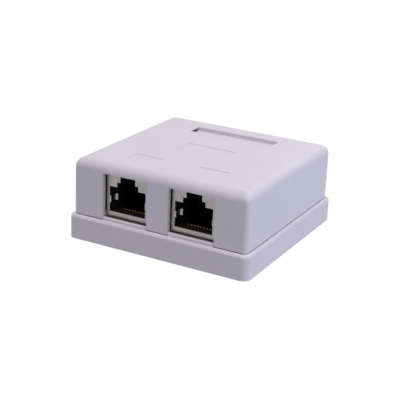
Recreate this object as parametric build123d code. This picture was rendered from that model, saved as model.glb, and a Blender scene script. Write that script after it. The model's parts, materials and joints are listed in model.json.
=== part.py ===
from build123d import *
import os

# Two-port shielded network outlet box, made to be screwed or stuck to a wall.
# All sizes are in millimetres. The box lies on its back: +Z points away from the wall,
# -Y is the side with the ports and +X is right when the ports are looked at.
# The origin is the middle of the back face.

# Case, measured over the outside
case_width = 60.0
case_depth = 60.0
case_height = 25.0

# Base: a tray whose flange stands proud of the cover
flange_height = 7.5
flange_corner = 2.4
flange_skin = 1.5
shoulder_radius = 1.0
shelf_thickness = 1.8
floor_thickness = 2.0
lip_wall = 1.2
lip_height = 2.2
lip_clearance = 0.2

# Cover: a shell that drops over the lip of the base
cover_inset = 1.2
cover_corner = 1.5
cover_inner_corner = 0.6
cover_wall = 1.4
cover_top = 2.0
cover_draft = 0.4
top_radius = 2.7
lower_edge_bevel = 0.1

# Shadow gap between the cover and the flange
joint_gap = 0.2
joint_inset = 0.7

# Snap ridges on the lip and the shallow grooves that they click into
snap_length = 8.0
snap_spacing = 26.0
snap_proud = 0.12
snap_height = 1.2
snap_groove_depth = 0.3

# Windows in the front of the cover, closed below by sills on the base
port_pitch = 22.0
window_width = 15.0
window_lap = 0.1
sill_clearance = 0.15
sill_rise = 1.0
sill_depth = 0.8
sill_bevel = 0.3

# Cable entries in the rear of the cover
entry_width = 8.0
entry_rise = 8.0
entry_clearance = 0.8

# Label plate in its pocket, with an opening under a thin lip for prying it out
label_length = 28.6
label_width = 5.6
label_setback = 10.8
label_sink = 1.1
label_plate_thickness = 0.8
label_clearance = 0.1
label_corner = 0.4
pocket_floor = 1.0
pocket_rim = 1.2
pry_reach = 2.2
pry_lip = 0.3

# Shallow recesses in the top of the cover
recess_depth = 0.15
name_recess = (16.7, 6.6)
name_recess_y = 0.1
port_recess = (9.4, 5.0)
port_recess_setback = 11.3

# Wall screw slots and cable tie anchors in the floor
wall_slot_width = 4.2
wall_slot_length = 8.0
wall_slot_side_gap = 2.5
wall_slot_rear_gap = 3.4
anchor_width = 6.0
anchor_height = 3.4
anchor_length = 2.6
anchor_rear_gap = 0.8
anchor_gap_width = 3.4
anchor_gap_height = 1.6

# Circuit board on two posts, with its sides resting on ribs.
# The headroom share is the part of the spare height that lies above the jacks.
board_side_gap = 1.5
board_front_gap = 0.4
board_depth = 40.0
board_thickness = 1.6
board_corner = 1.0
headroom_share = 0.1652
board_hole_radius = 1.25
front_screw_inset = 5.0
post_radius = 2.5
pilot_radius = 1.1
pilot_sink = 0.2
rib_thickness = 1.2
rib_reach = 0.8
rib_spacing = 16.0

# Screws that hold the board and the screen bar
screw_radius = 1.05
screw_end_gap = 0.4
screw_tip = 1.2
screw_head_radius = 2.0
screw_head_height = 1.5
screw_head_round = 0.9

# Port opening, with the latch slot upwards
port_width = 12.2
port_height = 7.75
latch_step_width = 7.2
latch_step_top = 9.3
latch_slot_width = 5.05
latch_slot_top = 11.1
port_floor = 1.8
port_depth = 13.3

# Folded shield round each jack
jack_recess = 1.7
jack_bay_clearance = 0.2
shield_width = 14.6
shield_height = 13.65
shield_depth = 18.0
sheet = 0.3
shield_fold = 0.25
shield_front_lift = 0.35
shield_seam = 0.2
jack_fit = 0.05

# Spring fingers of the shield, one at each side of the opening
finger_height = 1.9
finger_rise = 3.7
finger_inset = 0.25
finger_straight = 2.5
finger_slant = 0.25
finger_return = 2.0
finger_reach = 0.75
finger_end_reach = 0.1
finger_bend = 0.25
finger_room = 0.45

# Ground tails of the shield
tail_width = 1.2
tail_drop = 2.6
tail_setback = 5.0
tail_spacing = 6.0
tail_slot_clearance = 0.3

# Jack housing
latch_pocket_start = 2.2
latch_pocket_end = 9.5
peg_radius = 1.25
peg_length = 1.4
peg_root = 1.0
peg_offset_x = 5.6
peg_setback = 7.5
peg_hole_clearance = 0.1

# Lugs on the sides of the housing that the shield snaps over
lug_length = 2.4
lug_height = 1.6
lug_proud = 0.25
lug_setback = 4.5
lug_rise = 6.5
lug_clearance = 0.1

# Contact carrier, pushed into the housing from behind
carrier_width = 8.6
carrier_setback = 2.9
carrier_height = 8.4
comb_depth = 1.5
comb_height = 7.2
groove_width = 0.65
groove_floor = 0.6

# Contact springs
contact_count = 8
contact_pitch = 1.02
contact_width = 0.45
contact_thickness = 0.35
contact_run_height = 0.9
contact_front_gap = 0.9
contact_hairpin_rise = 0.8
contact_tip_height = 6.4
contact_tip_depth = 0.85
contact_bend = 0.45
contact_row_setback = 0.75
contact_row_spacing = 2.5
contact_tail = 1.2
contact_hole_radius = 0.35

# Punch-down blocks, two for each jack
block_length = 16.2
block_width = 5.6
block_height = 10.0
block_base = 3.4
block_front_gap = 1.9
block_spacing = 11.0
block_lead_in = 0.5
ways = 4
way_pitch = 3.6
way_slot = 1.1

# Forked blades in the punch-down blocks
blade_width = 2.6
blade_thickness = 0.4
blade_foot = 1.0
blade_top = 8.6
blade_shoulder = 0.6
fork_gap = 0.35
fork_floor = 4.0
fork_lead_in = 0.4
blade_pin_width = 0.6
blade_pin_drop = 2.6
blade_clearance = 0.05
blade_hole_radius = 0.45

# Folded bar that bonds the cable screens
bar_length = 38.0
bar_width = 4.0
bar_thickness = 0.4
bar_arch_length = 9.0
bar_arch_rise = 2.2
bar_ramp = 1.4
bar_rear_gap = 0.8

# Places worked out from the sizes above
cover_width = case_width - 2 * cover_inset
cover_depth = case_depth - 2 * cover_inset
cover_front_y = -cover_depth / 2
inner_width = cover_width - 2 * cover_wall
inner_depth = cover_depth - 2 * cover_wall
lip_width = inner_width - 2 * lip_clearance
lip_depth = inner_depth - 2 * lip_clearance
well_width = lip_width - 2 * lip_wall
well_depth = lip_depth - 2 * lip_wall
ceiling = case_height - cover_top

spare_height = ceiling - floor_thickness - board_thickness - shield_height
board_top = ceiling - headroom_share * spare_height - shield_height
board_bottom = board_top - board_thickness
board_width = well_width - 2 * board_side_gap
board_front_y = -well_depth / 2 + board_front_gap
board_rear_y = board_front_y + board_depth
board_centre_y = (board_front_y + board_rear_y) / 2
screw_length = board_top - floor_thickness - screw_end_gap

window_bottom = flange_height + sill_rise
window_top = board_top + shield_height - window_lap
label_centre_y = cover_depth / 2 - label_setback
port_recess_y = cover_front_y + port_recess_setback
wall_slot_x = well_width / 2 - wall_slot_side_gap - wall_slot_length / 2
wall_slot_y = well_depth / 2 - wall_slot_rear_gap - wall_slot_width / 2
anchor_rear_y = well_depth / 2 - anchor_rear_gap

jack_face_y = cover_front_y + jack_recess
jack_rear_y = jack_face_y + shield_depth
housing_front_y = jack_face_y + sheet + jack_fit
housing_rear_y = jack_rear_y - sheet - jack_fit
housing_width = shield_width - 2 * (sheet + jack_fit)
housing_top = board_top + shield_height - sheet - jack_fit
port_bottom = board_top + port_floor
port_rear_y = jack_face_y + port_depth
finger_low = port_bottom + finger_rise - finger_height / 2
finger_high = finger_low + finger_height

label_top = case_height - label_sink
pocket_bottom = label_top - label_plate_thickness
block_first_y = jack_rear_y + block_front_gap + block_width / 2
bar_y = board_rear_y - bar_rear_gap - bar_width / 2


def block(x_range, y_range, z_range):
    """Solid with square corners between two values along each axis."""
    (x_low, x_high), (y_low, y_high), (z_low, z_high) = x_range, y_range, z_range
    middle = Pos((x_low + x_high) / 2, (y_low + y_high) / 2, (z_low + z_high) / 2)
    return middle * Box(x_high - x_low, y_high - y_low, z_high - z_low)


def slab(width, depth, corner, z_low, z_high, taper=0.0):
    """Solid with a rounded rectangle as its plan, centred on the origin."""
    plan = Pos(0, 0, z_low) * RectangleRounded(width, depth, corner)
    return extrude(plan, amount=z_high - z_low, taper=taper)


def side_profile(points, x_low, x_high):
    """Solid whose outline is drawn in (y, z) and runs along X."""
    outline = Plane.YZ.offset(x_low) * Polygon(*points, align=None)
    return extrude(outline, amount=x_high - x_low, dir=(1, 0, 0))


def front_profile(points, y_low, y_high):
    """Solid whose outline is drawn in (x, z) and runs along Y."""
    outline = Plane.XZ.offset(-y_low) * Polygon(*points, align=None)
    return extrude(outline, amount=y_high - y_low, dir=(0, 1, 0))


def both_sides(offset):
    """The same distance to the left and to the right."""
    return (-offset, offset)


def write(node, solid, colour):
    """Save one piece under its own name."""
    solid.label = node
    solid.color = Color(*colour)
    export_step(solid, f"parts/{node}.step")


# Base

def flange():
    """Hollow rim with a rounded shoulder, open below like a moulded skirt."""
    rim = slab(case_width, case_depth, flange_corner, 0, flange_height)
    rim = fillet(rim.faces().sort_by(Axis.Z)[-1].edges(), shoulder_radius)
    inner_corner = flange_corner - flange_skin
    groove = slab(case_width - 2 * flange_skin, case_depth - 2 * flange_skin, inner_corner,
                  0, flange_height - shelf_thickness)
    groove -= slab(lip_width, lip_depth, cover_inner_corner, 0, flange_height)
    well = slab(well_width, well_depth, cover_inner_corner, floor_thickness, flange_height)
    return rim - groove - well


def lip():
    """Wall that locates the cover, left out behind the windows and cable entries."""
    top = flange_height + lip_height
    wall = slab(lip_width, lip_depth, cover_inner_corner, flange_height, top)
    wall -= slab(well_width, well_depth, cover_inner_corner, flange_height, top)
    bay = port_pitch / 2 + window_width / 2 + lip_clearance
    wall -= block((-bay, bay), (-case_depth / 2, 0), (flange_height, top))
    gap = entry_width / 2 + entry_clearance
    for x in both_sides(port_pitch / 2):
        wall -= block((x - gap, x + gap), (0, case_depth / 2), (flange_height, top))
    return wall


def snap_ridge(side, y, proud, length):
    """Low ridge of triangular section along the side of the lip."""
    face = lip_width / 2
    middle = flange_height + snap_height
    points = [(face, middle - proud), (face + proud, middle), (face, middle + proud)]
    return front_profile([(side * x, z) for x, z in points], y - length / 2, y + length / 2)


def sill(x):
    """Upstand that closes the bottom of one window, flush with the cover."""
    half = window_width / 2 - sill_clearance
    rear_y = cover_front_y + sill_depth
    root = flange_height - shelf_thickness / 2
    outline = [
        (cover_front_y, root),
        (cover_front_y, window_bottom - sill_bevel),
        (cover_front_y + sill_bevel, window_bottom),
        (rear_y, window_bottom),
        (rear_y, root),
    ]
    return side_profile(outline, x - half, x + half)


def jack_bay(x):
    """Room for the front of a jack, which a low board would let down into the rim."""
    half = shield_width / 2 + jack_bay_clearance
    return block((x - half, x + half), (jack_face_y, -well_depth / 2), (board_top, window_top))


def screw_seats():
    """Point that each screw head lies on: the board in front, the screen bar behind."""
    front = (0, board_front_y + front_screw_inset, board_top)
    rear = (0, bar_y, board_top + bar_thickness)
    return [front, rear]


def post(x, y):
    """Tapered post below a board screw."""
    foot = Pos(x, y, board_bottom) * Circle(post_radius)
    return extrude(foot, amount=floor_thickness - board_bottom, taper=-1.0)


def pilot(x, y):
    """Blind hole down through a post and a little into the floor."""
    outline = Pos(x, y, floor_thickness - pilot_sink) * Circle(pilot_radius)
    return extrude(outline, amount=board_bottom - floor_thickness + pilot_sink)


def board_rib(side, y):
    """Rib on the side wall of the well that one edge of the board rests on."""
    x_range = sorted((side * well_width / 2, side * (board_width / 2 - rib_reach)))
    y_range = (y - rib_thickness / 2, y + rib_thickness / 2)
    return block(x_range, y_range, (floor_thickness, board_bottom))


def tie_anchor(x):
    """Small moulded bridge that a cable tie goes through."""
    outline = Rectangle(anchor_width, anchor_height, align=(Align.CENTER, Align.MIN))
    outline = fillet(outline.vertices().group_by(Axis.Y)[-1], anchor_gap_height / 2)
    outline -= Rectangle(anchor_gap_width, anchor_gap_height, align=(Align.CENTER, Align.MIN))
    bridge = extrude(Plane.XZ.offset(-anchor_rear_y) * outline, amount=anchor_length)
    return Pos(x, 0, floor_thickness) * bridge


def make_base():
    body = flange() + lip()
    for x in both_sides(port_pitch / 2):
        body += sill(x)
        body -= jack_bay(x)
        body += tie_anchor(x)
    for side in (-1, 1):
        for y in both_sides(snap_spacing / 2):
            body += snap_ridge(side, y, snap_proud, snap_length)
        for y in (-rib_spacing, 0, rib_spacing):
            body += board_rib(side, board_centre_y + y)
    for x, y, seat in screw_seats():
        body += post(x, y)
        body -= pilot(x, y)
    for x in both_sides(wall_slot_x):
        slot = extrude(SlotOverall(wall_slot_length, wall_slot_width), amount=floor_thickness)
        body -= Pos(x, wall_slot_y, 0) * slot
    return body


# Cover

def cover_shell():
    """Drafted shell with large rounded top edges, standing on a foot that is set back."""
    edge = flange_height + joint_gap
    outer = slab(cover_width, cover_depth, cover_corner, edge, case_height, cover_draft)
    outer = fillet(outer.faces().sort_by(Axis.Z)[-1].edges(), top_radius)
    outer = chamfer(outer.faces().sort_by(Axis.Z)[0].edges(), lower_edge_bevel)
    outer += slab(cover_width - 2 * joint_inset, cover_depth - 2 * joint_inset,
                  cover_corner - joint_inset, flange_height, edge + lower_edge_bevel)
    inner = slab(inner_width, inner_depth, cover_inner_corner, flange_height, ceiling, cover_draft)
    return outer - inner


def window(x):
    """Notch in the front wall that one jack looks out of."""
    half = window_width / 2
    wall = (cover_front_y - cover_wall, cover_front_y + 2 * cover_wall)
    return block((x - half, x + half), wall, (0, window_top))


def cable_entry(x):
    """Arched notch in the rear wall."""
    radius = entry_width / 2
    spring = flange_height + entry_rise - radius
    outline = Pos(x, spring) * Circle(radius)
    outline += Pos(x, spring / 2) * Rectangle(entry_width, spring)
    start = Plane.XZ.offset(-case_depth / 2)
    return extrude(start * outline, amount=case_depth / 2 - inner_depth / 2 + cover_wall)


def label_pocket():
    """Pocket for the label plate and the opening beside it, under a thin lip."""
    half_length = label_length / 2
    y_range = (label_centre_y - label_width / 2, label_centre_y + label_width / 2)
    pocket = block((-half_length, half_length), y_range, (pocket_bottom, case_height))
    opening = block((-half_length - pry_reach, -half_length), y_range,
                    (pocket_bottom - pocket_floor, case_height - pry_lip))
    return pocket + opening


def pocket_underside():
    """Thicker patch below the label plate, hanging from the ceiling up to the prying opening."""
    half_length = label_length / 2
    y_range = (label_centre_y - label_width / 2 - pocket_rim,
               label_centre_y + label_width / 2 + pocket_rim)
    return block((-half_length, half_length + pocket_rim), y_range,
                 (pocket_bottom - pocket_floor, ceiling + cover_top / 2))


def shallow_recess(size, x, y):
    """Plain rectangular field sunk a little below the top."""
    field = Pos(x, y, case_height - recess_depth) * Rectangle(*size)
    return extrude(field, amount=recess_depth)


def make_cover():
    shell = cover_shell() + pocket_underside() - label_pocket()
    shell -= shallow_recess(name_recess, 0, name_recess_y)
    for x in both_sides(port_pitch / 2):
        shell -= window(x)
        shell -= cable_entry(x)
        shell -= shallow_recess(port_recess, x, port_recess_y)
    for side in (-1, 1):
        for y in both_sides(snap_spacing / 2):
            groove_length = snap_length + 2 * lip_clearance
            reach = lip_clearance + snap_groove_depth
            shell -= snap_ridge(side, y, reach, groove_length)
    return shell


def make_label_plate():
    """Removable plate that lies in the pocket."""
    length = label_length - 2 * label_clearance
    width = label_width - 2 * label_clearance
    plate = slab(length, width, label_corner, pocket_bottom, label_top)
    return Pos(0, label_centre_y, 0) * plate


# Jacks, drawn about x = 0 and then moved to their places

def port_outline():
    """Stepped outline of the opening in (x, z), with the latch slot upwards."""
    steps = [(port_width / 2, port_height), (latch_step_width / 2, latch_step_top),
             (latch_slot_width / 2, latch_slot_top)]
    right = []
    z_below = 0
    for half_width, top in steps:
        right += [(half_width, z_below), (half_width, top)]
        z_below = top
    left = [(-x, z) for x, z in reversed(right)]
    return [(x, port_bottom + z) for x, z in right + left]


def carrier_outline(fit):
    """Side view of the contact carrier, grown by a fit allowance."""
    front = jack_face_y + carrier_setback - fit
    step = port_rear_y - fit
    top = board_top + carrier_height + fit
    return [(front, board_top), (housing_rear_y, board_top), (housing_rear_y, top),
            (step, top), (step, port_bottom), (front, port_bottom)]


def make_housing():
    """Moulded body with the stepped cavity, latch pocket and two board pegs."""
    half = housing_width / 2
    body = block((-half, half), (housing_front_y, housing_rear_y), (board_top, housing_top))
    body -= front_profile(port_outline(), housing_front_y, port_rear_y)
    step = latch_step_width / 2
    body -= block((-step, step),
                  (jack_face_y + latch_pocket_start, jack_face_y + latch_pocket_end),
                  (port_bottom, port_bottom + latch_slot_top))
    reach = carrier_width / 2 + jack_fit
    body -= side_profile(carrier_outline(jack_fit), -reach, reach)
    room_rear = (housing_front_y + finger_straight + finger_slant + finger_return
                 + finger_room)
    room_side = port_width / 2 + finger_room
    body -= block((-room_side, room_side), (housing_front_y, room_rear),
                  (finger_low - finger_room, finger_high + finger_room))
    for x in both_sides(peg_offset_x):
        peg = Pos(x, jack_face_y + peg_setback, board_top - peg_length) * Circle(peg_radius)
        body += extrude(peg, amount=peg_length + peg_root)
    for side in (-1, 1):
        body += lug(side)
    return body


def lug(side):
    """Wedge on the side of the housing, with its slope towards the front, seen from above."""
    front_y = jack_rear_y - lug_setback - lug_length
    wall = housing_width / 2
    plan = Polygon((side * wall, front_y), (side * (wall + lug_proud), front_y + lug_length),
                   (side * wall, front_y + lug_length), align=None)
    return extrude(Pos(0, 0, board_top + lug_rise) * plan, amount=lug_height, dir=(0, 0, 1))


def lug_window(side):
    """Opening in the side of the shield for one lug."""
    rear_y = jack_rear_y - lug_setback
    wall = shield_width / 2
    low = board_top + lug_rise
    return block(sorted((side * (wall - sheet), side * wall)),
                 (rear_y - lug_length - lug_clearance, rear_y + lug_clearance),
                 (low - lug_clearance, low + lug_height + lug_clearance))


def contact_row_y(number):
    """Depth of a contact's tail: odd and even contacts stand in two rows."""
    return port_rear_y + contact_row_setback + contact_row_spacing * (number % 2)


def contact_x(number):
    """Sideways place of a contact, counted from one."""
    return (number - (contact_count + 1) / 2) * contact_pitch


def make_carrier():
    """L-shaped insert: floor under the contacts and comb behind them."""
    half = carrier_width / 2
    body = side_profile(carrier_outline(0), -half, half)
    low = board_top + groove_floor
    front = jack_face_y + carrier_setback + contact_thickness
    comb_top = port_bottom - port_floor + comb_height
    channel_top = board_top + contact_run_height + contact_thickness
    tail_room = groove_width / 2
    for number in range(1, contact_count + 1):
        x_range = (contact_x(number) - groove_width / 2, contact_x(number) + groove_width / 2)
        row_y = contact_row_y(number)
        body -= block(x_range, (front, port_rear_y + comb_depth), (low, comb_top))
        body -= block(x_range, (front, row_y + tail_room), (low, channel_top))
        body -= block(x_range, (row_y - tail_room, row_y + tail_room), (board_top, low))
    return body


def make_contact(number):
    """Hairpin spring: tail through the board, run forward, bend and slanted contact leg."""
    row_y = contact_row_y(number)
    run_z = board_top + contact_run_height
    front_y = jack_face_y + carrier_setback + contact_front_gap
    route = FilletPolyline(
        (0, row_y, board_bottom - contact_tail),
        (0, row_y, run_z),
        (0, front_y, run_z),
        (0, front_y, run_z + contact_hairpin_rise),
        (0, port_rear_y + contact_tip_depth, board_top + contact_tip_height),
        radius=contact_bend,
    )
    section = Plane(origin=route @ 0, x_dir=(1, 0, 0), z_dir=route % 0)
    section = section * Rectangle(contact_width, contact_thickness)
    return Pos(contact_x(number), 0, 0) * sweep(section, path=route)


def finger(side):
    """Spring finger bent back from the edge of the opening and jogged inwards."""
    root_x = port_width / 2 + sheet
    x = port_width / 2 - finger_inset
    front_y = jack_face_y + sheet / 2
    jog_y = front_y + finger_straight
    tip_y = jog_y + finger_slant + finger_return
    centre_line = FilletPolyline(
        (side * root_x, front_y),
        (side * x, front_y),
        (side * x, jog_y),
        (side * (x - finger_reach), jog_y + finger_slant),
        (side * (x - finger_end_reach), tip_y),
        radius=finger_bend,
    )
    strip = trace(centre_line, line_width=sheet)
    return extrude(Pos(0, 0, finger_low) * strip, amount=finger_height, dir=(0, 0, 1))


def make_shield():
    """Folded tinned sheet: front with the stepped opening, top, sides and rear flap."""
    half = shield_width / 2
    top = board_top + shield_height
    skin = block((-half, half), (jack_face_y, jack_rear_y), (board_top, top))
    front_edges = skin.faces().sort_by(Axis.Y)[0].edges()
    top_edges = skin.faces().sort_by(Axis.Z)[-1].edges()
    folds = [edge for edge in front_edges + top_edges
             if edge.center().Z > board_top + sheet]
    skin = fillet(folds, shield_fold)
    skin -= block((-half + sheet, half - sheet), (jack_face_y + sheet, jack_rear_y - sheet),
                  (board_top, top - sheet))
    skin -= front_profile(port_outline(), jack_face_y, jack_face_y + sheet)
    skin -= block((-half, half), (jack_face_y, jack_face_y + sheet),
                  (board_top, board_top + shield_front_lift))
    for side in (-1, 1):
        skin += finger(side)
        seam = sorted((side * (half - sheet), side * (half - sheet - shield_seam)))
        skin -= block(seam, (jack_rear_y - sheet, jack_rear_y),
                      (board_top, top - sheet - shield_fold))
        skin -= lug_window(side)
        wall = sorted((side * half, side * (half - sheet)))
        for y in tail_places():
            skin += block(wall, (y - tail_width / 2, y + tail_width / 2),
                          (board_top - tail_drop, board_top + sheet))
    return skin


def tail_places():
    """Depths of the ground tails along each side of the shield."""
    first = jack_face_y + tail_setback
    return (first, first + tail_spacing)


# Punch-down blocks and blades, drawn about x = 0, y = 0

def way_x(way):
    """Sideways place of a wire slot, counted from one."""
    return (way - (ways + 1) / 2) * way_pitch


def make_idc_block():
    """Comb of towers with pockets for the blades."""
    half = block_length / 2
    top = board_top + block_height
    slot = way_slot / 2
    mouth = slot + block_lead_in
    outline = [(-half, board_top), (-half, top)]
    for way in range(1, ways + 1):
        x = way_x(way)
        outline += [(x - mouth, top), (x - slot, top - 2 * block_lead_in),
                    (x - slot, board_top + block_base), (x + slot, board_top + block_base),
                    (x + slot, top - 2 * block_lead_in), (x + mouth, top)]
    outline += [(half, top), (half, board_top)]
    comb = front_profile(outline, -block_width / 2, block_width / 2)
    reach = blade_width / 2 + blade_clearance
    depth = blade_thickness / 2 + blade_clearance
    for way in range(1, ways + 1):
        x = way_x(way)
        comb -= block((x - reach, x + reach), (-depth, depth),
                      (board_top, board_top + blade_top + 2 * blade_clearance))
    return comb


def make_blade():
    """Forked blade with a lead-in and a pin through the board."""
    half = blade_width / 2
    pin = blade_pin_width / 2
    gap = fork_gap / 2
    right = [(pin, -blade_pin_drop), (pin, blade_foot), (half, blade_foot),
             (half, blade_top - blade_shoulder), (half - fork_lead_in, blade_top),
             (gap + fork_lead_in, blade_top), (gap, blade_top - 2 * fork_lead_in),
             (gap, fork_floor)]
    left = [(-x, z) for x, z in reversed(right)]
    outline = [(x, board_top + z) for x, z in right + left]
    return front_profile(outline, -blade_thickness / 2, blade_thickness / 2)


# Circuit board, screws and screen bar

def drill(places, radius):
    """Round holes through the board."""
    holes = [Pos(x, y, board_bottom) * Circle(radius) for x, y in places]
    return extrude(Sketch() + holes, amount=board_thickness)


def make_board():
    plan = RectangleRounded(board_width, board_depth, board_corner)
    board = extrude(Pos(0, board_centre_y, board_bottom) * plan, amount=board_thickness)
    board -= drill([(x, y) for x, y, seat in screw_seats()], board_hole_radius)
    tails, pegs, pins = [], [], []
    for x in both_sides(port_pitch / 2):
        tails += [(x + contact_x(n), contact_row_y(n)) for n in range(1, contact_count + 1)]
        pegs += [(x + dx, jack_face_y + peg_setback) for dx in both_sides(peg_offset_x)]
        pins += [(x + way_x(way), y) for way in range(1, ways + 1) for y in block_rows()]
        for dx in both_sides(shield_width / 2 - sheet / 2):
            for y in tail_places():
                board -= tail_slot(x + dx, y)
    board -= drill(tails, contact_hole_radius)
    board -= drill(pegs, peg_radius + peg_hole_clearance)
    board -= drill(pins, blade_hole_radius)
    return board


def tail_slot(x, y):
    """Slot in the board for one ground tail of a shield."""
    half_x = sheet / 2 + tail_slot_clearance
    half_y = tail_width / 2 + tail_slot_clearance
    return block((x - half_x, x + half_x), (y - half_y, y + half_y), (board_bottom, board_top))


def block_rows():
    """Depths of the two rows of punch-down blocks."""
    return (block_first_y, block_first_y + block_spacing)


def make_screw(x, y, seat):
    """Pan head screw with a pointed end, its head lying at the height of its seat."""
    half_section = Plane.XZ * Polygon(
        (0, -screw_length),
        (screw_radius, screw_tip - screw_length),
        (screw_radius, 0),
        (screw_head_radius, 0),
        (screw_head_radius, screw_head_height),
        (0, screw_head_height),
        align=None,
    )
    screw = revolve(half_section, Axis.Z)
    screw = fillet(screw.faces().sort_by(Axis.Z)[-1].edges(), screw_head_round)
    return Pos(x, y, seat) * screw


def make_screen_bar():
    """Strip folded into two arches, with three flat feet on the board and a hole for a screw."""
    half = bar_arch_length / 2
    reach = bar_length / 2
    middle = port_pitch / 2
    centre_line = [(-reach, 0)]
    for x in both_sides(middle):
        centre_line += [(x - half - bar_ramp, 0), (x - half, bar_arch_rise),
                        (x + half, bar_arch_rise), (x + half + bar_ramp, 0)]
    centre_line += [(reach, 0)]
    lower = [(x, board_top + z) for x, z in centre_line]
    upper = [(x, z + bar_thickness) for x, z in reversed(lower)]
    bar = front_profile(lower + upper, bar_y - bar_width / 2, bar_y + bar_width / 2)
    return bar - extrude(Pos(0, bar_y, board_top) * Circle(board_hole_radius), amount=bar_thickness)


# Colours of the real materials
abs_white = (0.85, 0.84, 0.87)
tinned_steel = (0.62, 0.60, 0.57)
black_plastic = (0.03, 0.03, 0.03)
gold = (0.83, 0.66, 0.32)
bronze = (0.72, 0.53, 0.30)
board_green = (0.06, 0.30, 0.16)
zinc = (0.70, 0.71, 0.73)

os.makedirs("parts", exist_ok=True)

write("base", make_base(), abs_white)
write("cover", make_cover(), abs_white)
write("label_plate", make_label_plate(), abs_white)
write("circuit_board", make_board(), board_green)
write("screen_bar", make_screen_bar(), tinned_steel)
screws = [make_screw(*seat) for seat in screw_seats()]
write("board_screws", Compound(children=screws), zinc)

for name, centre in (("left", -port_pitch / 2), ("right", port_pitch / 2)):
    place = Pos(centre, 0, 0)
    write(f"{name}_jack_housing", place * make_housing(), black_plastic)
    write(f"{name}_contact_carrier", place * make_carrier(), black_plastic)
    write(f"{name}_jack_shield", place * make_shield(), tinned_steel)
    for number in range(1, contact_count + 1):
        write(f"{name}_contact_{number}", place * make_contact(number), gold)
    for row, y in zip(("front", "rear"), block_rows()):
        write(f"{name}_{row}_idc_block", Pos(centre, y, 0) * make_idc_block(), abs_white)
        for way in range(1, ways + 1):
            seat = Pos(centre + way_x(way), y, 0)
            write(f"{name}_{row}_idc_blade_{way}", seat * make_blade(), bronze)
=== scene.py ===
import json
import math

import bmesh
import bpy
from mathutils import Matrix, Vector


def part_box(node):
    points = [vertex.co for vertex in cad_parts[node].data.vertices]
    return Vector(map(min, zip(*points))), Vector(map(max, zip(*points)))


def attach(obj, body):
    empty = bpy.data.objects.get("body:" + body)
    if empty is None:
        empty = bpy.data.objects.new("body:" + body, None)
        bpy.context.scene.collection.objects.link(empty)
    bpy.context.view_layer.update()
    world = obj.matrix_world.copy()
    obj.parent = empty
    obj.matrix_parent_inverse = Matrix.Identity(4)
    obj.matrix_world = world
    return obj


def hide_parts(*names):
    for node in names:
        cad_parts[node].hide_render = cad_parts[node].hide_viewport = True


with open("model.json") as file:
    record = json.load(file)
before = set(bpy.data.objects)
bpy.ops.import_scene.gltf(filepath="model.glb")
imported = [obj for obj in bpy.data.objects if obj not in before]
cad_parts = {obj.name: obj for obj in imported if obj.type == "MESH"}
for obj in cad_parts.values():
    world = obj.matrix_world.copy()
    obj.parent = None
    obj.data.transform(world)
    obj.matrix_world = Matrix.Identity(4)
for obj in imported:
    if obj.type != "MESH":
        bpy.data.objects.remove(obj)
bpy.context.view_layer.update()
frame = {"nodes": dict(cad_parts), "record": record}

# Two-port network outlet box, lying on its back. All lengths are in metres, and a size of the
# real thing is written in millimetres and turned with MM.
MM = 0.001

# The photograph's view, found from the straight edges of the case
PHOTO_PIXELS = 400
FOCAL_PIXELS = 1047.1
SENSOR_WIDTH = 36.0
CAMERA_AZIMUTH = math.radians(27.99)
CAMERA_ELEVATION = math.radians(20.13)
CAMERA_ROLL = math.radians(2.41)
CAMERA_DISTANCE = 321.97 * MM
CAMERA_TARGET = Vector((-0.63, -1.81, 9.34)) * MM
CAMERA_NEAR = 10 * MM

# Studio: the floor, the light from all round, and the watts that a lamp needs, one metre away,
# to make a white that faces it render as white
FLOOR_HALF = 1.5
FLOOR_DROP = 0.05 * MM
AMBIENT = "#5D6877"
WHITE_POWER = math.pi ** 2

# Board screws: pan heads with a cross recess, and a thread that forms its own groove
SCREW_HEAD_RADIUS = 2.0 * MM
SCREW_HEAD_HEIGHT = 1.5 * MM
SCREW_HEAD_ROUND = 0.9 * MM
SCREW_RADIUS = 1.05 * MM
SCREW_CORE_RADIUS = 0.76 * MM
SCREW_TIP = 1.2 * MM
SCREW_TIP_RADIUS = 0.08 * MM
THREAD_PITCH = 0.8 * MM
THREAD_STEPS = 8
THREAD_START = 0.4 * MM
# Half the width of the thread's ridge at its foot, as a share of the pitch
THREAD_RIDGE = 0.3
RECESS_REACH = 1.1 * MM
RECESS_HALF_WIDTH = 0.26 * MM
RECESS_DEPTH = 1.0 * MM
RECESS_TAPER = 0.55
# Lines of the grid on the head, from its middle outwards, and the rings from there to its rim
HEAD_GRID = [0.0, RECESS_HALF_WIDTH, 0.6 * MM, RECESS_REACH, 1.2 * MM, 1.3 * MM]
HEAD_RINGS = [1.88 * MM, 1.95 * MM, SCREW_HEAD_RADIUS]
# A plain screw's corners lie within this of its axis
SCREW_REACH = 1.1 * SCREW_HEAD_RADIUS
# Edges that turn by more than this stay sharp
SHARP_ANGLE = math.radians(38)

# Painted shade in the front of the open joint: a darker colour that stands in for the shadow in the gap.
# It lies within a height of the cover's lower edge, from a start to a depth behind the cover's front, and
# ends short of the cover's corners
PAINTED_SHADE_HEIGHT = 0.25 * MM
PAINTED_SHADE_START = 0.1 * MM
PAINTED_SHADE_DEPTH = 0.75 * MM
PAINTED_SHADE_END = 1.5 * MM

# Solder below the board: cones that lose this share of their radius, fastest at the board
SOLDER_RADIUS = 0.62 * MM
SOLDER_HEIGHT = 0.7 * MM
SOLDER_NARROWING = 0.6
SOLDER_RINGS = 4
SOLDER_STEPS = 12

# A pin's foot is what it has within a depth of its low end; a foot's corners lie within a spread
PIN_FOOT_DEPTH = 0.05 * MM
FOOT_SPREAD = 1.5 * MM

# Corners nearer than this are one corner
SAME_PLACE = 0.001 * MM

# Half the height over which the contacts' tin gives way to gold
GOLD_EDGE = 0.3 * MM

# Sockets of a node that mixes two colours: its share, its two colours and its result
MIX_SHARE = 0
MIX_FROM = 6
MIX_TO = 7
MIXED = 2

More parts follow.
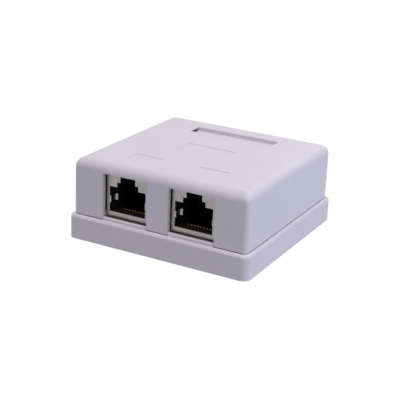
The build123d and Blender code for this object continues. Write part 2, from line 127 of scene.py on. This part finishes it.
# Most of a noise's values lie between these
NOISE_LOW = 0.3
NOISE_HIGH = 0.7

# Bands that the wave node draws in one unit, at a scale of 1
WAVE_BANDS = 20 / math.tau


# Small helpers

def linear(code):
    """Linear colour of an sRGB hex code, with full alpha."""
    shares = [int(code[place:place + 2], 16) / 255 for place in (1, 3, 5)]
    return tuple(s / 12.92 if s <= 0.04045 else ((s + 0.055) / 1.055) ** 2.4 for s in shares) + (1.0,)


def per(size_mm):
    """Pattern scale whose cells are about this many millimetres across."""
    return 1 / (size_mm * MM)


def add(tree, kind, inputs=None, **settings):
    """Add one node with its settings; an input is a value or the socket that is linked to it."""
    item = tree.nodes.new("ShaderNode" + kind)
    for name, value in settings.items():
        setattr(item, name, value)
    for name, value in (inputs or {}).items():
        if isinstance(value, bpy.types.NodeSocket):
            tree.links.new(value, item.inputs[name])
        else:
            item.inputs[name].default_value = value
    return item


def empty_tree(holder):
    """Node tree of a new material or world, with nothing in it."""
    holder.use_nodes = True
    holder.node_tree.nodes.clear()
    return holder.node_tree


def start_material(name):
    """New empty material, its node tree and its object coordinates."""
    material = bpy.data.materials.new(name)
    tree = empty_tree(material)
    return material, tree, add(tree, "TexCoord").outputs["Object"]


def end_material(tree, inputs):
    """Surface shader with these inputs, joined to the material's output."""
    surface = add(tree, "BsdfPrincipled", inputs)
    add(tree, "OutputMaterial", {"Surface": surface.outputs["BSDF"]})


# Materials

def joint_painted_shade(tree, place):
    """Share of painted shade, which stands in for the shadow in the gap: full in the front of the open
    joint, under the ports, and nothing elsewhere.
    """
    low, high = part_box("cover")
    spans = {
        "X": (0.0, high.x - PAINTED_SHADE_END),
        "Y": (low.y + (PAINTED_SHADE_START + PAINTED_SHADE_DEPTH) / 2, (PAINTED_SHADE_DEPTH - PAINTED_SHADE_START) / 2),
        "Z": (low.z, PAINTED_SHADE_HEIGHT),
    }
    sides = add(tree, "SeparateXYZ", {"Vector": place}).outputs
    across, inwards, upwards = (
        add(tree, "Math", {0: sides[axis], 1: middle, 2: reach}, operation="COMPARE").outputs["Value"]
        for axis, (middle, reach) in spans.items()
    )
    level = add(tree, "Math", {0: across, 1: inwards}, operation="MULTIPLY").outputs["Value"]
    return add(tree, "Math", {0: level, 1: upwards}, operation="MULTIPLY").outputs["Value"]


def moulded_abs(name, pale, deep, rough_low, rough_high):
    """White ABS: the tool's spark-eroded finish gives it an even, fine matt skin."""
    material, tree, place = start_material(name)
    cloud = add(tree, "TexNoise", {"Vector": place, "Scale": per(18), "Detail": 2.0})
    # The tool's grain is about 0.05 mm; it is drawn at 0.3 mm so that it shows
    grain = add(tree, "TexNoise", {"Vector": place, "Scale": per(0.3), "Detail": 3.0})
    mottle = add(tree, "TexNoise", {"Vector": place, "Scale": per(1.6), "Detail": 4.0})
    unshaded = add(tree, "Mix", {
        MIX_SHARE: cloud.outputs["Fac"],
        MIX_FROM: linear(pale),
        MIX_TO: linear(deep),
    }, data_type="RGBA")
    # Painted shade: the front of the joint is mixed towards a darker grey-brown that stands in for the
    # shadow in the gap
    colour = add(tree, "Mix", {
        MIX_SHARE: joint_painted_shade(tree, place),
        MIX_FROM: unshaded.outputs[MIXED],
        MIX_TO: linear("#8D8583"),
    }, data_type="RGBA")
    rough = add(tree, "MapRange", {
        "Value": mottle.outputs["Fac"],
        "From Min": NOISE_LOW,
        "From Max": NOISE_HIGH,
        "To Min": rough_low,
        "To Max": rough_high,
    })
    relief = add(tree, "Bump", {"Height": grain.outputs["Fac"], "Strength": 0.25, "Distance": 0.01 * MM})
    end_material(tree, {
        "Base Color": colour.outputs[MIXED],
        "Roughness": rough.outputs["Result"],
        "IOR": 1.53,
        "Normal": relief.outputs["Normal"],
    })
    return material


def tin_plated_steel():
    """Cold-rolled sheet with a dull tin coat: rolling grain along the sheet and grey blooms."""
    material, tree, place = start_material("tin_plated_steel")
    # The rolls leave lines 0.12 mm wide and about 1 mm long
    rolled = add(tree, "Mapping", {"Vector": place, "Scale": (0.12, 1.0, 1.0)})
    grain = add(tree, "TexNoise", {"Vector": rolled.outputs["Vector"], "Scale": per(0.12), "Detail": 4.0})
    bloom = add(tree, "TexNoise", {"Vector": place, "Scale": per(2.5), "Detail": 3.0})
    colour = add(tree, "Mix", {
        MIX_SHARE: bloom.outputs["Fac"],
        MIX_FROM: linear("#A09A98"),
        MIX_TO: linear("#8B8683"),
    }, data_type="RGBA")
    rough = add(tree, "MapRange", {
        "Value": grain.outputs["Fac"],
        "From Min": NOISE_LOW,
        "From Max": NOISE_HIGH,
        "To Min": 0.24,
        "To Max": 0.38,
    })
    relief = add(tree, "Bump", {"Height": grain.outputs["Fac"], "Strength": 0.2, "Distance": 0.01 * MM})
    end_material(tree, {
        "Base Color": colour.outputs[MIXED],
        "Metallic": 1.0,
        "Roughness": rough.outputs["Result"],
        "Normal": relief.outputs["Normal"],
    })
    return material


def glass_filled_pbt():
    """Black PBT with glass fibres: short pale flow streaks in a matt skin."""
    material, tree, place = start_material("glass_filled_pbt")
    # Streaks 0.4 mm wide and 1.6 mm long, along the way the plug goes in
    flow = add(tree, "Mapping", {"Vector": place, "Scale": (1.0, 0.25, 1.0)})
    streak = add(tree, "TexNoise", {"Vector": flow.outputs["Vector"], "Scale": per(0.4), "Detail": 4.0})
    colour = add(tree, "Mix", {
        MIX_SHARE: streak.outputs["Fac"],
        MIX_FROM: linear("#040404"),
        MIX_TO: linear("#0B0B0C"),
    }, data_type="RGBA")
    relief = add(tree, "Bump", {"Height": streak.outputs["Fac"], "Strength": 0.3, "Distance": 0.01 * MM})
    end_material(tree, {
        "Base Color": colour.outputs[MIXED],
        "Roughness": 0.72,
        "IOR": 1.5,
        "Specular IOR Level": 0.3,
        "Normal": relief.outputs["Normal"],
    })
    return material


def gold_plated_bronze(board_top):
    """Spring wire: glossy gold above the board, darker than plated gold with painted shade for the dim
    port, with the tails below it dipped in tin.
    """
    material, tree, place = start_material("gold_plated_bronze")
    above = add(tree, "MapRange", {
        "Value": add(tree, "SeparateXYZ", {"Vector": place}).outputs["Z"],
        "From Min": board_top - GOLD_EDGE,
        "From Max": board_top + GOLD_EDGE,
    })
    drawn = add(tree, "TexNoise", {"Vector": place, "Scale": per(0.1), "Detail": 3.0})
    # Painted shade: the gold is darker than plated gold, standing in for the shade inside the port
    colour = add(tree, "Mix", {
        MIX_SHARE: above.outputs["Result"],
        MIX_FROM: linear("#B9B5AE"),
        MIX_TO: linear("#74592C"),
    }, data_type="RGBA")
    rough = add(tree, "MapRange", {"Value": drawn.outputs["Fac"], "To Min": 0.14, "To Max": 0.28})
    end_material(tree, {
        "Base Color": colour.outputs[MIXED],
        "Metallic": 1.0,
        "Roughness": rough.outputs["Result"],
    })
    return material


def moulded_polycarbonate():
    """Ivory polycarbonate of the punch-down blocks: smooth, with faint flow clouds."""
    material, tree, place = start_material("moulded_polycarbonate")
    cloud = add(tree, "TexNoise", {"Vector": place, "Scale": per(5), "Detail": 3.0})
    colour = add(tree, "Mix", {
        MIX_SHARE: cloud.outputs["Fac"],
        MIX_FROM: linear("#DAD8D0"),
        MIX_TO: linear("#CFCCC2"),
    }, data_type="RGBA")
    rough = add(tree, "MapRange", {"Value": cloud.outputs["Fac"], "To Min": 0.25, "To Max": 0.42})
    end_material(tree, {
        "Base Color": colour.outputs[MIXED],
        "Roughness": rough.outputs["Result"],
        "IOR": 1.58,
    })
    return material


def tinned_phosphor_bronze():
    """Stamped blades: tin over bronze, warm where the coat is thin, with upright shear marks."""
    material, tree, place = start_material("tinned_phosphor_bronze")
    # Shear marks 0.15 mm wide and 1 mm tall
    sheared = add(tree, "Mapping", {"Vector": place, "Scale": (1.0, 1.0, 0.15)})
    marks = add(tree, "TexNoise", {"Vector": sheared.outputs["Vector"], "Scale": per(0.15), "Detail": 3.0})
    thin = add(tree, "TexNoise", {"Vector": place, "Scale": per(1.8), "Detail": 2.0})
    colour = add(tree, "Mix", {
        MIX_SHARE: thin.outputs["Fac"],
        MIX_FROM: linear("#C9C5BD"),
        MIX_TO: linear("#B99F7C"),
    }, data_type="RGBA")
    rough = add(tree, "MapRange", {"Value": marks.outputs["Fac"], "To Min": 0.22, "To Max": 0.45})
    end_material(tree, {
        "Base Color": colour.outputs[MIXED],
        "Metallic": 1.0,
        "Roughness": rough.outputs["Result"],
    })
    return material


def masked_laminate():
    """Glass laminate under glossy green solder mask, with paler copper tracks showing through.

    The edges are bare: the saw leaves them straw-coloured and rough."""
    material, tree, place = start_material("masked_laminate")
    facing = add(tree, "SeparateXYZ", {"Vector": add(tree, "TexCoord").outputs["Normal"]})
    flat = add(tree, "Math", {0: facing.outputs["Z"]}, operation="ABSOLUTE")
    # Tracks are about 0.7 mm wide and 1.777 mm apart, in round fields about 8 mm across
    track = add(tree, "TexWave", {"Vector": place, "Scale": per(1.777) / WAVE_BANDS, "Distortion": 0.0},
                bands_direction="X")
    field = add(tree, "TexVoronoi", {"Vector": place, "Scale": per(9)})
    cut = add(tree, "Math", {0: field.outputs["Distance"], 1: 0.45}, operation="LESS_THAN")
    copper = add(tree, "MapRange", {"Value": track.outputs["Fac"], "From Min": 0.62, "From Max": 0.7})
    shown = add(tree, "Math", {0: copper.outputs["Result"], 1: cut.outputs["Value"]},
                operation="MULTIPLY")
    mask = add(tree, "Mix", {
        MIX_SHARE: shown.outputs["Value"],
        MIX_FROM: linear("#0E4A2A"),
        MIX_TO: linear("#1C6B3D"),
    }, data_type="RGBA")
    weave = add(tree, "TexNoise", {"Vector": place, "Scale": per(0.3), "Detail": 2.0})
    straw = add(tree, "Mix", {
        MIX_SHARE: weave.outputs["Fac"],
        MIX_FROM: linear("#DAD3B8"),
        MIX_TO: linear("#C2BA9C"),
    }, data_type="RGBA")
    colour = add(tree, "Mix", {
        MIX_SHARE: flat.outputs["Value"],
        MIX_FROM: straw.outputs[MIXED],
        MIX_TO: mask.outputs[MIXED],
    }, data_type="RGBA")
    rough = add(tree, "MapRange", {"Value": flat.outputs["Value"], "To Min": 0.75, "To Max": 0.22})
    relief = add(tree, "Bump", {"Height": shown.outputs["Value"], "Strength": 0.6, "Distance": 0.03 * MM})
    end_material(tree, {
        "Base Color": colour.outputs[MIXED],
        "Roughness": rough.outputs["Result"],
        "IOR": 1.55,
        "Normal": relief.outputs["Normal"],
    })
    return material


def zinc_plated_steel():
    """Rolled screw with a bright zinc coat: bluish, with a fine crystal speckle."""
    material, tree, place = start_material("zinc_plated_steel")
    crystal = add(tree, "TexVoronoi", {"Vector": place, "Scale": per(0.25)})
    colour = add(tree, "Mix", {
        MIX_SHARE: crystal.outputs["Distance"],
        MIX_FROM: linear("#C6CAD0"),
        MIX_TO: linear("#A9AEB8"),
    }, data_type="RGBA")
    rough = add(tree, "MapRange", {"Value": crystal.outputs["Distance"], "To Min": 0.2, "To Max": 0.38})
    end_material(tree, {
        "Base Color": colour.outputs[MIXED],
        "Metallic": 1.0,
        "Roughness": rough.outputs["Result"],
    })
    return material


def solder():
    """Lead-free solder: bright cones with a slightly frosted, grainy skin."""
    material, tree, place = start_material("solder")
    frost = add(tree, "TexNoise", {"Vector": place, "Scale": per(0.2), "Detail": 4.0})
    colour = add(tree, "Mix", {
        MIX_SHARE: frost.outputs["Fac"],
        MIX_FROM: linear("#C9C8C6"),
        MIX_TO: linear("#AFAEAB"),
    }, data_type="RGBA")
    rough = add(tree, "MapRange", {"Value": frost.outputs["Fac"], "To Min": 0.18, "To Max": 0.42})
    end_material(tree, {
        "Base Color": colour.outputs[MIXED],
        "Metallic": 1.0,
        "Roughness": rough.outputs["Result"],
    })
    return material


# Helpers for shapes

def new_object(name, shape, material):
    """Object made of a finished bmesh and its material, in the scene."""
    mesh = bpy.data.meshes.new(name)
    shape.to_mesh(mesh)
    shape.free()
    mesh.materials.append(material)
    item = bpy.data.objects.new(name, mesh)
    bpy.context.scene.collection.objects.link(item)
    return item


def new_piece(name, shape, material, body):
    """Piece of the object, riding on its body."""
    piece = new_object(name, shape, material)
    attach(piece, body)
    return piece


def join(shape, part):
    """Put a finished part into a larger shape."""
    mesh = bpy.data.meshes.new("part")
    part.to_mesh(mesh)
    part.free()
    shape.from_mesh(mesh)
    bpy.data.meshes.remove(mesh)


def spin_profile(shape, points, centre, steps):
    """Turn a profile, given as (radius, height) pairs, once round an upright axis."""
    corners = [shape.verts.new(centre + Vector((radius, 0, height))) for radius, height in points]
    edges = [shape.edges.new(pair) for pair in zip(corners, corners[1:])]
    bmesh.ops.spin(shape, geom=corners + edges, cent=centre, axis=(0, 0, 1), dvec=(0, 0, 0),
                   angle=math.tau, steps=steps, use_merge=True)
    bmesh.ops.remove_doubles(shape, verts=shape.verts, dist=SAME_PLACE)
    bmesh.ops.recalc_face_normals(shape, faces=shape.faces)


def draw_ring(shape, rim, radius_at, height):
    """Draw an open rim on to a new ring, with its radius worked out from each corner's angle."""
    made = bmesh.ops.extrude_edge_only(shape, edges=rim)["geom"]
    for corner in (item for item in made if isinstance(item, bmesh.types.BMVert)):
        angle = math.atan2(corner.co.y, corner.co.x)
        radius = radius_at(angle)
        corner.co = (radius * math.cos(angle), radius * math.sin(angle), height)
    return [item for item in made if isinstance(item, bmesh.types.BMEdge) and item.is_boundary]


def lowest_points(node, depth):
    """Middle of each foot of a node: the corners at its low end, grouped where they lie together."""
    corners = [corner.co for corner in frame["nodes"][node].data.vertices]
    floor = min(corner.z for corner in corners)
    feet = []
    for corner in (corner for corner in corners if corner.z < floor + depth):
        near = [foot for foot in feet if (foot[0] - corner).length < FOOT_SPREAD]
        if near:
            near[0].append(corner)
        else:
            feet.append([corner])
    return [sum(foot, Vector()) / len(foot) for foot in feet]


# Board screws

def dome_height(radius):
    """Height of the pan head's top at this radius, above its seat."""
    over = max(0.0, radius - (SCREW_HEAD_RADIUS - SCREW_HEAD_ROUND))
    return SCREW_HEAD_HEIGHT - SCREW_HEAD_ROUND + math.sqrt(max(0.0, SCREW_HEAD_ROUND ** 2 - over ** 2))


def crossed_top(shape):
    """Domed middle of the head, with its cross recess sunk in; gives back its open rim."""
    lines = [-line for line in HEAD_GRID[:0:-1]] + HEAD_GRID
    spans = len(lines) - 1
    # The grid is made with steps of 1, and each corner then goes to its lines
    bmesh.ops.create_grid(shape, x_segments=spans, y_segments=spans, size=spans / 2)
    for corner in shape.verts:
        x, y = (lines[round(place + spans / 2)] for place in corner.co.xy)
        corner.co = (x, y, dome_height(math.hypot(x, y)))
    rim = [edge for edge in shape.edges if edge.is_boundary]
    cross = []
    for face in shape.faces:
        near, far = sorted(abs(place) for place in face.calc_center_median().xy)
        if near < RECESS_HALF_WIDTH and far < RECESS_REACH:
            cross.append(face)
    made = bmesh.ops.extrude_face_region(shape, geom=cross)["geom"]
    bmesh.ops.delete(shape, geom=cross, context="FACES_ONLY")
    for corner in (item for item in made if isinstance(item, bmesh.types.BMVert)):
        corner.co.xy *= RECESS_TAPER
        corner.co.z = SCREW_HEAD_HEIGHT - RECESS_DEPTH
    return [edge for edge in rim if edge.is_valid]


def thread_radius(height, angle):
    """Radius of the threaded shank: one sharp ridge that climbs a pitch with each turn."""
    turn = (height / THREAD_PITCH - angle / math.tau) % 1.0
    ridge = max(0.0, 1 - abs(turn - 0.5) / THREAD_RIDGE)
    return SCREW_CORE_RADIUS + (SCREW_RADIUS - SCREW_CORE_RADIUS) * ridge


def threaded_shank(shape, rim, length):
    """Thread from the rim below the head down to the point, which is closed."""
    step = THREAD_PITCH / THREAD_STEPS
    for place in range(1, int((length - THREAD_START) / step)):
        depth = THREAD_START + place * step
        taper = min(1.0, (length - depth) / SCREW_TIP)
        rim = draw_ring(shape, rim, lambda angle: taper * thread_radius(depth, angle), -depth)
    rim = draw_ring(shape, rim, lambda angle: SCREW_TIP_RADIUS, -length)
    bmesh.ops.holes_fill(shape, edges=rim)


def screw_shape(length):
    """One screw with its seat at the origin: crossed head, rounded edge, thread and point."""
    shape = bmesh.new()
    rim = crossed_top(shape)
    for radius in HEAD_RINGS:
        rim = draw_ring(shape, rim, lambda angle: radius, dome_height(radius))
    below = [(SCREW_HEAD_RADIUS, 0), (SCREW_RADIUS, 0), (SCREW_CORE_RADIUS, -THREAD_START)]
    for radius, height in below:
        rim = draw_ring(shape, rim, lambda angle: radius, height)
    threaded_shank(shape, rim, length)
    bmesh.ops.recalc_face_normals(shape, faces=shape.faces)
    return shape


def make_board_screws(material):
    """Two equal screws that hold the board, one of them through the screen bar."""
    corners = [corner.co for corner in frame["nodes"]["board_screws"].data.vertices]
    shape = bmesh.new()
    for tip in lowest_points("board_screws", SCREW_TIP / 2):
        own = [corner.z for corner in corners if (corner.xy - tip.xy).length < SCREW_REACH]
        seat = max(own) - SCREW_HEAD_HEIGHT
        screw = screw_shape(seat - min(own))
        bmesh.ops.translate(screw, verts=screw.verts, vec=(tip.x, tip.y, seat))
        join(shape, screw)
    for face in shape.faces:
        face.smooth = True
    for edge in shape.edges:
        edge.smooth = edge.calc_face_angle(0.0) < SHARP_ANGLE
    piece = new_piece("cross_head_screws", shape, material, "base_unit")
    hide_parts("board_screws")


# Solder joints

def solder_profile():
    """Outline of a cone as (radius, height) pairs, from the board's face down to its tip."""
    profile = [(0, 0)]
    for ring in range(SOLDER_RINGS + 1):
        share = ring / SOLDER_RINGS
        radius = SOLDER_RADIUS * (1 - SOLDER_NARROWING * math.sqrt(share))
        profile.append((radius, -SOLDER_HEIGHT * share))
    profile.append((0, -SOLDER_HEIGHT))
    return profile


def make_solder_joints(material):
    """Concave cones of solder round every pin and tail that comes through the board."""
    board_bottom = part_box("circuit_board")[0].z
    pins = [node for node in frame["nodes"]
            if "_blade_" in node or ("_contact_" in node and "carrier" not in node)]
    shape = bmesh.new()
    for node in pins:
        for foot in lowest_points(node, PIN_FOOT_DEPTH):
            cone = bmesh.new()
            spin_profile(cone, solder_profile(), Vector((foot.x, foot.y, board_bottom)), SOLDER_STEPS)
            join(shape, cone)
    new_piece("solder_joints", shape, material, "base_unit")


# Studio

def seen_rays(tree):
    """1 for what the camera sees, straight, mirrored or through glass, and 0 for what only lights."""
    rays = add(tree, "LightPath").outputs
    seen = add(tree, "Math", {0: rays["Is Camera Ray"], 1: rays["Is Glossy Ray"]}, operation="MAXIMUM")
    seen = add(tree, "Math", {0: seen.outputs["Value"], 1: rays["Is Transmission Ray"]},
               operation="MAXIMUM")
    return seen.outputs["Value"]


def make_floor():
    """Pale floor: white to the eye, with the soft shadow that the box throws."""
    material = bpy.data.materials.new("studio_paper")
    tree = empty_tree(material)
    paper = add(tree, "BsdfDiffuse", {"Color": linear("#BEBEC4")})
    shade = add(tree, "BsdfDiffuse", {"Color": linear("#66666A")})
    glow = add(tree, "Emission", {"Color": linear("#FFFFFF"), "Strength": 0.92})
    white = add(tree, "AddShader", {0: shade.outputs["BSDF"], 1: glow.outputs["Emission"]})
    surface = add(tree, "MixShader", {0: seen_rays(tree), 1: paper.outputs["BSDF"],
                                      2: white.outputs["Shader"]})
    add(tree, "OutputMaterial", {"Surface": surface.outputs["Shader"]})
    shape = bmesh.new()
    bmesh.ops.create_grid(shape, x_segments=1, y_segments=1, size=FLOOR_HALF,
                          matrix=Matrix.Translation((0, 0, -FLOOR_DROP)))
    new_object("floor", shape, material)


def make_world():
    """White to the eye and in reflections, and a cool grey as light."""
    world = bpy.data.worlds.new("studio")
    tree = empty_tree(world)
    light = add(tree, "Background", {"Color": linear(AMBIENT), "Strength": 1.0})
    white = add(tree, "Background", {"Color": linear("#FFFFFF"), "Strength": 1.0})
    surface = add(tree, "MixShader", {0: seen_rays(tree), 1: light.outputs["Background"],
                                      2: white.outputs["Background"]})
    add(tree, "OutputWorld", {"Surface": surface.outputs["Shader"]})
    bpy.context.scene.world = world


def softbox(name, place, size, share, code):
    """Square lamp aimed at the box; share is the part of full white that it gives a facing surface."""
    place = Vector(place)
    lamp = bpy.data.lights.new(name, "AREA")
    lamp.size = size
    lamp.energy = share * WHITE_POWER * place.length_squared
    lamp.color = linear(code)[:3]
    item = bpy.data.objects.new(name, lamp)
    item.location = place
    item.rotation_euler = place.to_track_quat("Z", "Y").to_euler()
    bpy.context.scene.collection.objects.link(item)


def make_camera():
    """Camera at the photograph's viewing angle."""
    across = Vector((math.cos(CAMERA_AZIMUTH), math.sin(CAMERA_AZIMUTH), 0))
    back = Vector((math.sin(CAMERA_AZIMUTH) * math.cos(CAMERA_ELEVATION),
                   -math.cos(CAMERA_AZIMUTH) * math.cos(CAMERA_ELEVATION),
                   math.sin(CAMERA_ELEVATION)))
    level = Matrix((across, back.cross(across), back)).transposed()
    turned = level @ Matrix.Rotation(CAMERA_ROLL, 3, "Z")
    data = bpy.data.cameras.new("photo_camera")
    data.sensor_width = SENSOR_WIDTH
    data.lens = FOCAL_PIXELS * SENSOR_WIDTH / PHOTO_PIXELS
    data.clip_start = CAMERA_NEAR
    camera = bpy.data.objects.new("photo_camera", data)
    camera.matrix_world = Matrix.Translation(CAMERA_TARGET + back * CAMERA_DISTANCE) @ turned.to_4x4()
    bpy.context.scene.collection.objects.link(camera)
    bpy.context.scene.camera = camera


# The scene: finishes on the CAD nodes, the two pieces of its own, and the studio

finishes = {
    "case_plastic": moulded_abs("moulded_abs", "#E8E1E8", "#E4DDE6", 0.42, 0.52),
    # The label's ABS is a paler copy of the case's: its extra paleness is painted light that offsets the
    # shade in its pocket
    "label_plastic": moulded_abs("label_abs", "#EFE8EF", "#ECE5EC", 0.34, 0.42),
    "tinned_steel": tin_plated_steel(),
    "jack_plastic": glass_filled_pbt(),
    "gold_contact": gold_plated_bronze(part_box("circuit_board")[1].z),
    "block_plastic": moulded_polycarbonate(),
    "blade_bronze": tinned_phosphor_bronze(),
    "board_laminate": masked_laminate(),
    "screw_zinc": zinc_plated_steel(),
}
for part in frame["record"]["subparts"]:
    for holder in frame["nodes"][part["node"]].material_slots:
        holder.material = finishes[part["material_slot"]]

make_board_screws(finishes["screw_zinc"])
make_solder_joints(solder())
make_floor()
make_world()
softbox("key_softbox", place=(0.05, -0.17, 0.70), size=0.5, share=0.61, code="#FFF8F5")
softbox("side_softbox", place=(0.80, 0.10, 0.18), size=0.5, share=0.43, code="#DFE5FF")
softbox("left_softbox", place=(-0.75, 0.15, 0.30), size=0.5, share=0.10, code="#FFFFFF")
softbox("back_softbox", place=(-0.05, 0.80, 0.30), size=0.5, share=0.10, code="#FFFFFF")
make_camera()

bpy.context.scene.view_settings.view_transform = "Standard"
